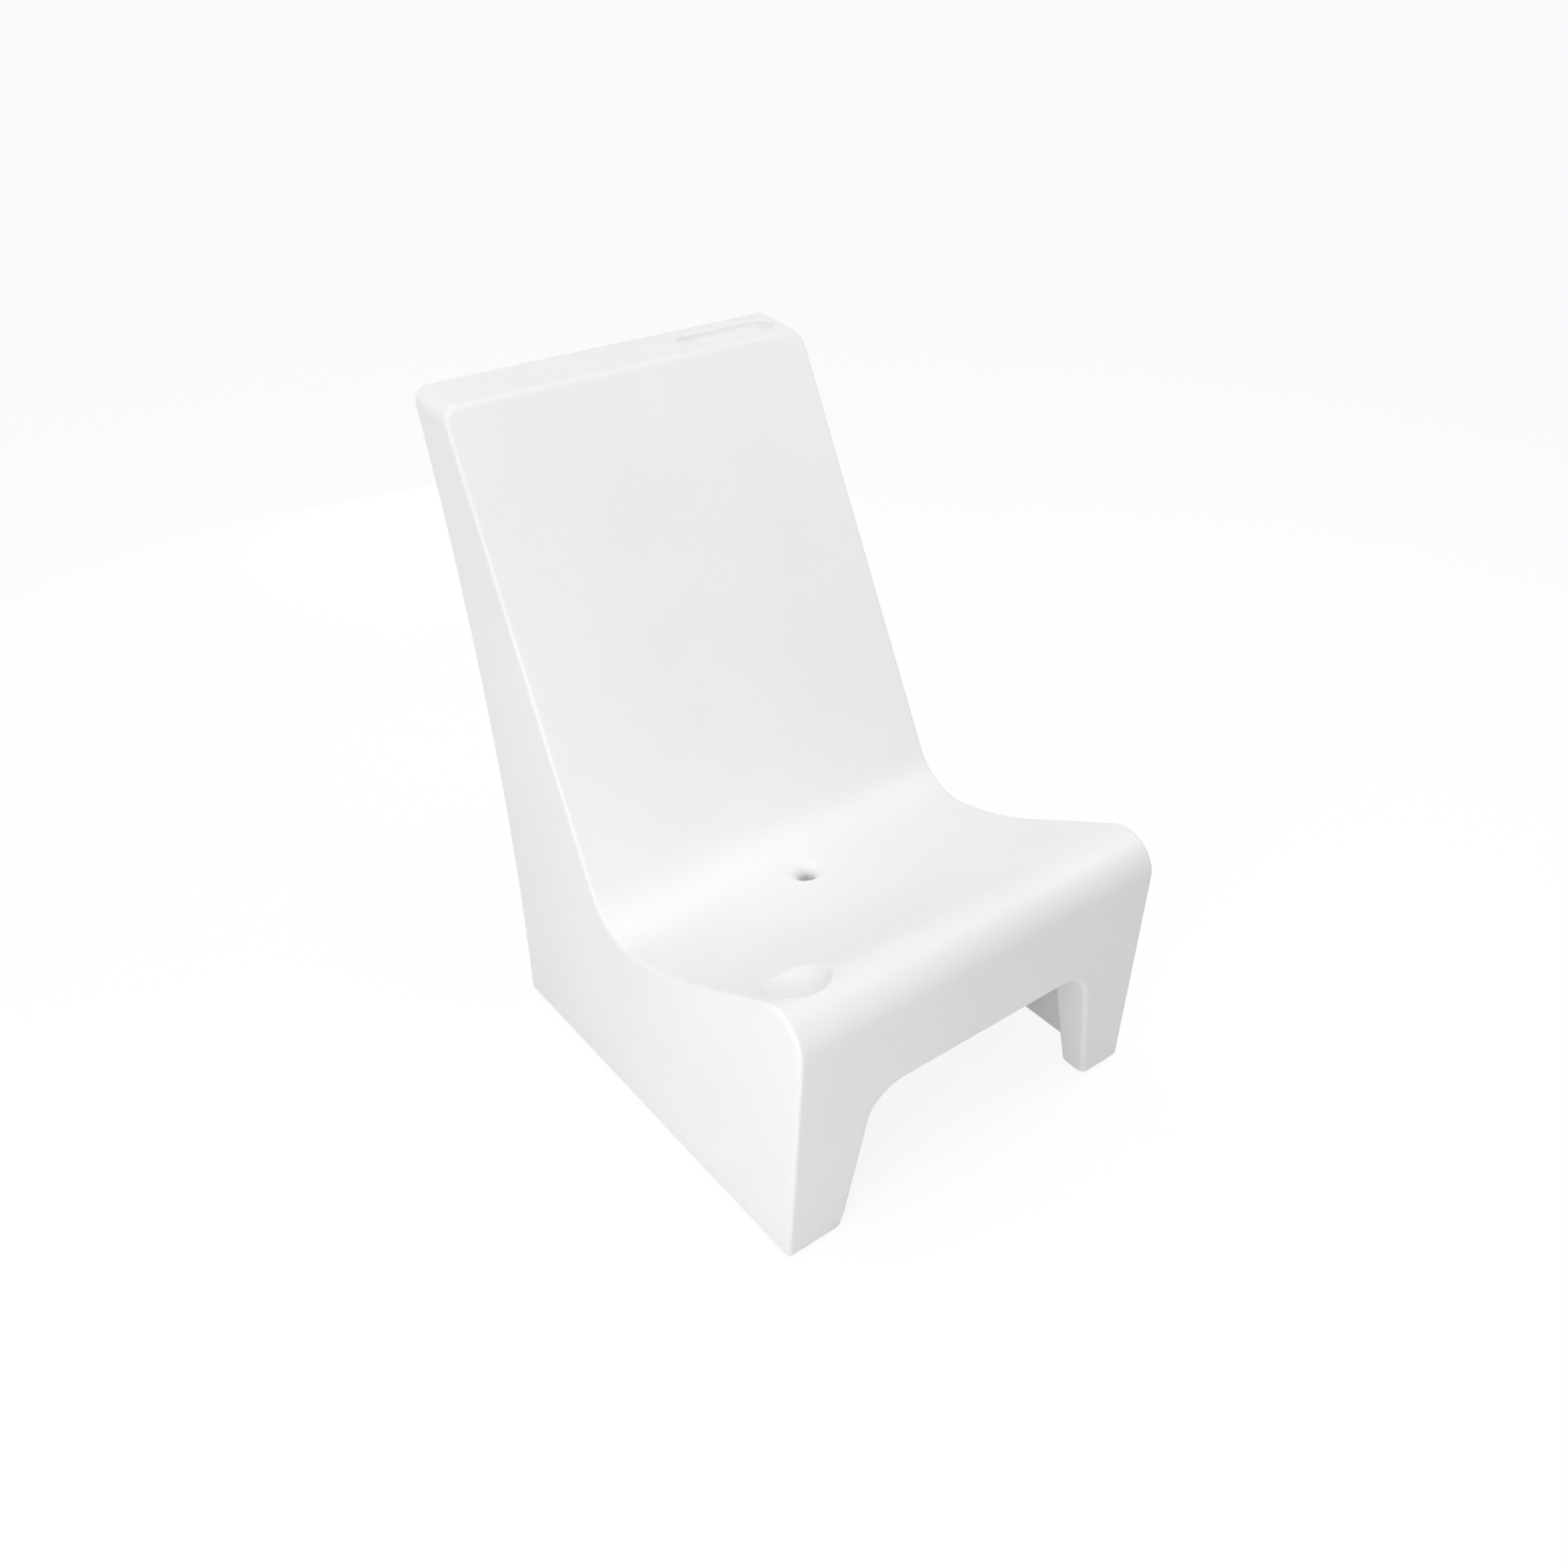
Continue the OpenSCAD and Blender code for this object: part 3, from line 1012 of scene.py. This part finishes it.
class Socket:
    """An output socket of a shader graph, on which sums and products add their nodes."""

    def __init__(self, graph: "Graph", link: bpy.types.NodeSocket) -> None:
        """Keeps the graph and the socket."""
        self.graph, self.link = graph, link

    def _math(self, operation: str, a: Value, b: Value) -> "Socket":
        """Adds a Math node of that operation on two values."""
        return self.graph.node("Math", {0: a, 1: b}, operation=operation)

    def __add__(self, other: Value) -> "Socket":
        """This plus other."""
        return self._math("ADD", self, other)

    def __radd__(self, other: Value) -> "Socket":
        """Other plus this."""
        return self._math("ADD", other, self)

    def __sub__(self, other: Value) -> "Socket":
        """This minus other."""
        return self._math("SUBTRACT", self, other)

    def __rsub__(self, other: Value) -> "Socket":
        """Other minus this."""
        return self._math("SUBTRACT", other, self)

    def __mul__(self, other: Value) -> "Socket":
        """This times other."""
        return self._math("MULTIPLY", self, other)

    def __rmul__(self, other: Value) -> "Socket":
        """Other times this."""
        return self._math("MULTIPLY", other, self)

    def __pow__(self, other: Value) -> "Socket":
        """This to the power of other."""
        return self._math("POWER", self, other)


class Graph:
    """The node tree of a material or of the world."""

    def __init__(self, tree: bpy.types.NodeTree) -> None:
        """Starts with an empty tree."""
        self.tree = tree
        tree.nodes.clear()

    def node(
        self, kind: str, inputs: dict[Any, Value], output: Union[int, str] = 0, **settings: Any
    ) -> Socket:
        """Adds a node.

        Args:
            kind: The node's type, without its ShaderNode prefix.
            inputs: A value or link for each socket, by name or number.
            output: Which output is returned.
            **settings: The node's own settings, set before its sockets.

        Returns:
            The chosen output.
        """
        node = self.tree.nodes.new("ShaderNode" + kind)
        for key, value in settings.items():
            setattr(node, key, value)
        for key, value in inputs.items():
            socket = node.inputs[key]
            if isinstance(value, Socket):
                self.tree.links.new(value.link, socket)
            elif isinstance(value, tuple) and len(value) == 3 and socket.type == "RGBA":
                socket.default_value = (*value, 1.0)
            else:
                socket.default_value = value
        return Socket(self, node.outputs[output] if len(node.outputs) else None)

    def noise(self, where: Socket, scale: float, detail: float = 2.0, rough: float = 0.5) -> Socket:
        """Noise around one half, of scale waves a metre and detail octaves of weight rough."""
        sockets = {"Vector": where, "Scale": scale, "Detail": detail, "Roughness": rough}
        return self.node("TexNoise", sockets, "Fac")

    def blend(self, share: Value, a: Value, b: Value) -> Socket:
        """A colour between a and b."""
        return self.node("Mix", {0: share, 6: a, 7: b}, 2, data_type="RGBA")

    def within(self, value: Socket, low: float, high: float) -> Socket:
        """0 where the value is at low, 1 where it is at high, and smooth between them."""
        sockets = {0: value, 1: low, 2: high, 3: 0.0, 4: 1.0}
        return self.node("MapRange", sockets, interpolation_type="SMOOTHSTEP")


def linear(level: float) -> float:
    """The light of one channel, from its level from 0 to 255 on an sRGB screen."""
    v = level / 255.0
    return v / 12.92 if v <= 0.04045 else ((v + 0.055) / 1.055) ** 2.4


def srgb(r: float, g: float, b: float) -> Colour:
    """A colour for the shader, from its levels on a screen."""
    return linear(r), linear(g), linear(b)


def blank(name: str) -> tuple[bpy.types.Material, Graph]:
    """Makes a material with nothing in it.

    Args:
        name: Name of the material.

    Returns:
        The material and its graph.
    """
    material = bpy.data.materials.new(name)
    material.use_nodes = True
    return material, Graph(material.node_tree)


@dataclass(frozen=True)
class PlasticFinish(ABC):
    """A plastic or rubber whose colour is clouded by a shade of it."""

    name: str
    colour: Colour
    shade: Colour
    ior: ClassVar[float] = 1.5
    cloud_span: ClassVar[tuple[float, float]] = (0.3, 0.7)

    def material(self) -> bpy.types.Material:
        """Builds the material.

        Returns:
            The new material.
        """
        material, g = blank(self.name)
        colour, rough, relief = self._look(g, g.node("TexCoord", {}, "Object"))
        bump = g.node("Bump", {"Strength": 1.0, "Distance": 1.0, "Height": relief})
        skin = {"Base Color": colour, "Roughness": rough, "IOR": self.ior, "Normal": bump}
        g.node("OutputMaterial", {"Surface": g.node("BsdfPrincipled", skin)})
        return material

    @abstractmethod
    def _look(self, g: Graph, where: Socket) -> tuple[Socket, Socket, Socket]:
        """Draws the finish.

        Args:
            g: Graph of the material.
            where: Place on the piece.

        Returns:
            Colour, roughness and height of the relief.
        """


@dataclass(frozen=True)
class MouldedFinish(PlasticFinish):
    """Satin polyethylene out of a heated mould: a faint orange peel over slow waves."""

    scuff: Colour
    roughness: float = 0.42
    peel_scale: float = 260.0
    peel: float = 0.014 * MM
    wave_scale: float = 11.0
    wave: float = 0.25 * MM
    pit_scale: float = 420.0
    pit: float = 0.05 * MM
    scuff_height: float = 30 * MM
    cloud_scale: float = 4.5
    grain_scale: float = 120.0
    pit_edge: tuple[float, float] = (0.05, 0.22)
    pit_patch_scale: float = 60.0
    pit_patch: tuple[float, float] = (0.64, 0.70)
    pit_shade: float = 0.15
    streak_scale: float = 95.0
    streak: tuple[float, float] = (0.50, 0.72)
    scuff_shade: float = 0.5
    grain_span: tuple[float, float] = (0.2, 0.8)
    cloud_shade: float = 0.6
    grain_shade: float = 0.25
    gloss: float = 0.05
    cloud_rough: float = 0.06
    grain_rough: float = 0.05
    scuff_rough: float = 0.2

    def _look(self, g: Graph, where: Socket) -> tuple[Socket, Socket, Socket]:
        """Draws the finish.

        Args:
            g: Graph of the material.
            where: Place on the piece.

        Returns:
            Colour, roughness and height of the relief.
        """
        cloud = g.noise(where, self.cloud_scale, detail=3.0)
        grain = g.noise(where, self.grain_scale, detail=3.0, rough=0.6)
        peel = g.noise(where, self.peel_scale, detail=1.5)
        wave = g.noise(where, self.wave_scale, detail=1.0)
        cells = g.node("TexVoronoi", {"Vector": where, "Scale": self.pit_scale}, "Distance")
        patches = g.within(g.noise(where, self.pit_patch_scale, detail=1.0), *self.pit_patch)
        pits = (1.0 - g.within(cells, *self.pit_edge)) * patches
        height = g.node("SeparateXYZ", {0: where}, "Z")
        low = 1.0 - g.within(height, 0.0, self.scuff_height)
        streak = g.noise(where, self.streak_scale, detail=4.0, rough=0.7)
        scuffs = low * g.within(streak, *self.streak) * self.scuff_shade
        tone = g.within(cloud, *self.cloud_span) * self.cloud_shade
        tone = tone + g.within(grain, *self.grain_span) * self.grain_shade
        colour = g.blend(tone, self.colour, self.shade)
        colour = g.blend(scuffs + pits * self.pit_shade, colour, self.scuff)
        rough = self.roughness - self.gloss + cloud * self.cloud_rough
        rough = rough + grain * self.grain_rough + scuffs * self.scuff_rough
        return colour, rough, peel * self.peel + wave * self.wave - pits * self.pit


@dataclass(frozen=True)
class TurnedFinish(PlasticFinish):
    """Turned plastic or rubber: fine rings round the piece's own axis."""

    roughness: float
    ring_scale: float = 2600.0
    ring: float = 0.006 * MM
    grain_scale: float = 900.0
    grain: float = 0.01 * MM
    cloud_scale: float = 70.0
    cloud_shade: float = 0.7
    grain_shade: float = 0.3
    gloss: float = 0.06
    cloud_rough: float = 0.08
    grain_rough: float = 0.06

    def _look(self, g: Graph, where: Socket) -> tuple[Socket, Socket, Socket]:
        """Draws the finish.

        Args:
            g: Graph of the material.
            where: Place on the piece.

        Returns:
            Colour, roughness and height of the relief.
        """
        x, y = (g.node("SeparateXYZ", {0: where}, axis) for axis in "XY")
        out = (x * x + y * y) ** 0.5
        rings = g.node("Math", {0: out * self.ring_scale * 2.0 * math.pi}, operation="SINE")
        grain = g.noise(where, self.grain_scale, rough=0.6)
        cloud = g.noise(where, self.cloud_scale)
        tone = g.within(cloud, *self.cloud_span) * self.cloud_shade + grain * self.grain_shade
        rough = self.roughness - self.gloss + cloud * self.cloud_rough + grain * self.grain_rough
        relief = rings * self.ring + grain * self.grain
        return g.blend(tone, self.colour, self.shade), rough, relief


class Finish(Enum):
    """The finishes of the chair's pieces, by the record's material slots."""

    SHELL = MouldedFinish(
        "white_polyethylene", srgb(243, 243, 242), srgb(238, 238, 238), srgb(214, 213, 208)
    )
    PLUG = MouldedFinish(
        "plug_polyethylene",
        srgb(236, 236, 234),
        srgb(230, 230, 229),
        srgb(206, 206, 203),
        roughness=0.36,
        peel_scale=900.0,
        peel=0.006 * MM,
        wave=0.0,
        scuff_height=1 * MM,
    )
    INSERT = TurnedFinish("natural_nylon", srgb(206, 205, 199), srgb(196, 195, 188), 0.45)
    GASKET = TurnedFinish("black_rubber", srgb(34, 34, 35), srgb(27, 27, 28), 0.68)


# Sub-assemblies


class Dresser:
    """Gives pieces their finishes, each of which becomes one material."""

    def __init__(self) -> None:
        """Starts with no materials."""
        self.materials: dict[Finish, bpy.types.Material] = {}

    def dress(self, piece: bpy.types.Object, finish: Finish) -> None:
        """Puts a finish on a piece.

        Args:
            piece: The mesh object.
            finish: The finish, whose name is also the record's material slot.
        """
        if finish not in self.materials:
            self.materials[finish] = finish.value.material()
        piece.data.materials.clear()
        piece.data.materials.append(self.materials[finish])


def seat_piece(piece: bpy.types.Object, body: str, node: str) -> None:
    """Lets a piece stand for a CAD node and move with its body.

    Args:
        piece: The mesh object, in place.
        body: The body that carries it.
        node: The CAD node that it stands for.
    """
    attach(piece, body)
    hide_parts(node)
    LOG.info("%s: %d faces, on %s", piece.name, len(piece.data.polygons), body)


@dataclass
class Shell:
    """The moulded shell of the chair."""

    profile: SideProfile
    ports: Sequence[Port]
    sizes: ShellSizes = field(default_factory=ShellSizes)
    port_sizes: PortSizes = field(default_factory=PortSizes)
    mesher: Mesher = field(default_factory=lambda: Mesher(step=3 * MM, keep=0.14, probe=0.2 * MM))

    def build(self, dresser: Dresser) -> bpy.types.Object:
        """Builds and dresses the shell.

        Args:
            dresser: Source of the finishes.

        Returns:
            The shell.
        """
        form = ShellForm(self.profile, self.sizes, self.port_sizes, self.ports)
        piece = self.mesher.build(form)
        dresser.dress(piece, Finish.SHELL)
        seat_piece(piece, "chair", "seat_shell")
        return piece


@dataclass
class ScrewPorts:
    """The threaded insert, sealing ring and screw plug of each port."""

    ports: Sequence[Port]
    sizes: PortSizes = field(default_factory=PortSizes)
    mesher: Mesher = field(
        default_factory=lambda: Mesher(step=0.5 * MM, keep=0.16, probe=0.03 * MM)
    )

    def build(self, dresser: Dresser) -> list[bpy.types.Object]:
        """Builds each piece once and sets a copy of it into every port.

        Args:
            dresser: Source of the finishes.

        Returns:
            The pieces.
        """
        pieces = []
        plan = (
            (InsertForm(self.sizes), Finish.INSERT, "chair"),
            (GasketForm(self.sizes), Finish.GASKET, "{}_seal"),
            (PlugForm(self.sizes), Finish.PLUG, "{}_cap"),
        )
        for form, finish, body in plan:
            first = self.mesher.build(form)
            for port in self.ports:
                node = f"{port.name}_{form.name}"
                piece = put(node + "_piece", first.data.copy())
                piece.matrix_world = port.matrix(self.sizes)
                dresser.dress(piece, finish)
                seat_piece(piece, body.format(port.name), node)
                pieces.append(piece)
            bpy.data.objects.remove(first)
        return pieces


# Studio


def hang(name: str, data: bpy.types.Light, toward: Vector) -> bpy.types.Object:
    """Puts a lamp into the scene, turned so that it shines from that direction.

    Args:
        name: Name of the lamp.
        data: The light itself.
        toward: Direction from what it lights to the lamp.

    Returns:
        The lamp.
    """
    lamp = put(name, data)
    lamp.rotation_euler = toward.to_track_quat("Z", "Y").to_euler()
    lamp.visible_camera = False
    return lamp


@dataclass(frozen=True)
class Sky:
    """Distant soft light: its direction, its strength and its width in degrees."""

    name: str
    toward: tuple[float, float, float]
    strength: float
    spread: float

    def build(self, tint: Colour) -> None:
        """Hangs the lamp.

        Args:
            tint: Colour of its light.
        """
        data = bpy.data.lights.new(self.name, "SUN")
        data.energy, data.angle, data.color = self.strength, math.radians(self.spread), tint
        hang(self.name, data, Vector(self.toward))


@dataclass(frozen=True)
class Panel:
    """A round soft panel near the chair: where it hangs, its width and its power."""

    name: str
    at: tuple[float, float, float]
    width: float
    power: float
    aim: tuple[float, float, float] = (0.0, 0.0, 0.4)

    def build(self, tint: Colour) -> None:
        """Hangs the lamp.

        Args:
            tint: Colour of its light.
        """
        data = bpy.data.lights.new(self.name, "AREA")
        data.shape, data.size, data.energy, data.color = "DISK", self.width, self.power, tint
        hang(self.name, data, Vector(self.at) - Vector(self.aim)).location = self.at


@dataclass
class Studio:
    """Pale floor, soft light and the photograph's point of view."""

    camera_at: tuple[float, float, float] = (-1.06729, -1.38082, 1.54621)
    yaw: float = -37.72
    pitch: float = -33.55
    roll: float = 0.33
    lens: float = 34.14
    sensor: float = 36.0
    clip: tuple[float, float] = (0.05, 200.0)
    tint: Colour = (0.996, 0.981, 1.0)
    ambient: float = 0.33
    floor_half: float = 30.0
    floor_below: float = 0.3 * MM
    floor_tone: float = 0.78
    floor_glow: float = 0.8
    floor_white: float = 1.10
    sky: Sky = Sky("overhead", (0.0, 0.0, 1.0), 0.54, 45.0)
    panels: Sequence[Panel] = (
        Panel("key", (-1.9, -1.2, 1.0), 1.4, 21.1),
        Panel("fill", (1.7, -0.6, 1.9), 1.4, 10.7),
        Panel("rear", (0.0, 1.5, 2.3), 1.6, 1.6),
        Panel("upper", (0.0, 0.0, 2.8), 2.0, 11.2),
        Panel("low", (-1.3, -2.0, 0.5), 1.2, 2.1),
        Panel("rear_left", (-1.6, 1.0, 1.9), 1.4, 5.4),
        Panel("behind", (0.4, 2.2, 0.45), 0.8, 3.0),
    )

    def build(self) -> None:
        """Sets the camera, the lamps, the world and the floor."""
        self._camera()
        self._world()
        self._floor()
        for lamp in (self.sky, *self.panels):
            lamp.build(self.tint)
        bpy.context.scene.view_settings.view_transform = "Standard"

    def _camera(self) -> None:
        """Places the camera that the photograph was taken with."""
        yaw, pitch, roll = (math.radians(v) for v in (self.yaw, self.pitch, self.roll))
        ahead = Vector(
            (-math.sin(yaw) * math.cos(pitch), math.cos(yaw) * math.cos(pitch), math.sin(pitch))
        )
        level = Vector((math.cos(yaw), math.sin(yaw), 0.0))
        above = level.cross(ahead)
        right = level * math.cos(roll) + above * math.sin(roll)
        up = above * math.cos(roll) - level * math.sin(roll)
        data = bpy.data.cameras.new("camera")
        data.lens, data.sensor_width = self.lens, self.sensor
        data.clip_start, data.clip_end = self.clip
        camera = put("camera", data)
        turn = Matrix((right, up, -ahead)).transposed().to_4x4()
        camera.matrix_world = Matrix.Translation(Vector(self.camera_at)) @ turn
        bpy.context.scene.camera = camera

    def _world(self) -> None:
        """White to the camera and in reflections, and softer as a light."""
        world = bpy.data.worlds.new("studio")
        bpy.context.scene.world = world
        world.use_nodes = True
        g = Graph(world.node_tree)
        seen = self._seen(g)
        strength = self.ambient + seen * (1.0 - self.ambient)
        light = g.node("Background", {"Color": self.tint, "Strength": strength})
        g.node("OutputWorld", {"Surface": light})

    @staticmethod
    def _seen(g: Graph) -> Socket:
        """Tells rays from the camera, from glossy surfaces and through clear ones from others.

        Args:
            g: The graph.

        Returns:
            1 for those rays, else 0.
        """
        kinds = ("Is Camera Ray", "Is Glossy Ray", "Is Transmission Ray")
        camera, glossy, through = (g.node("LightPath", {}, kind) for kind in kinds)
        both = g.node("Math", {0: camera, 1: glossy}, operation="MAXIMUM")
        return g.node("Math", {0: both, 1: through}, operation="MAXIMUM")

    def _floor(self) -> None:
        """Lays a pale floor that shows as white and keeps a faint shadow."""
        half, low = self.floor_half, -self.floor_below
        mesh = bpy.data.meshes.new("floor")
        ring = [(-half, -half, low), (half, -half, low), (half, half, low), (-half, half, low)]
        mesh.from_pydata(ring, [], [(0, 1, 2, 3)])
        material, g = blank("pale_floor")
        matte = g.node("BsdfDiffuse", {"Color": (self.floor_tone,) * 3})
        white = g.node("Emission", {"Color": self.tint, "Strength": self.floor_white})
        shown = g.node("MixShader", {0: self._seen(g) * self.floor_glow, 1: matte, 2: white})
        g.node("OutputMaterial", {"Surface": shown})
        mesh.materials.append(material)
        put("floor", mesh)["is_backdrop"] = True


def record_sizes() -> None:
    """Works out the box of the CAD model and that of the visual model side by side."""
    boxes = {"cad": CAD_BOX, "visual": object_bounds()}
    plain = {name: [[float(v) for v in c] for c in box] for name, box in boxes.items()}


def main() -> None:
    """Builds the studio, then the chair from its shell to its plugs."""
    logging.basicConfig(level=logging.INFO, format="%(name)s: %(message)s")
    Studio().build()
    profile = SideProfile()
    port_sizes = PortSizes()
    ports = [
        Port("fill", float(profile.rear_top[1]) - FILL_DROP, profile),
        Port("ballast", BALLAST_HEIGHT, profile),
    ]
    dresser = Dresser()
    Shell(profile, ports, port_sizes=port_sizes).build(dresser)
    ScrewPorts(ports, port_sizes).build(dresser)


if __name__ == "__main__":
    main()
    record_sizes()
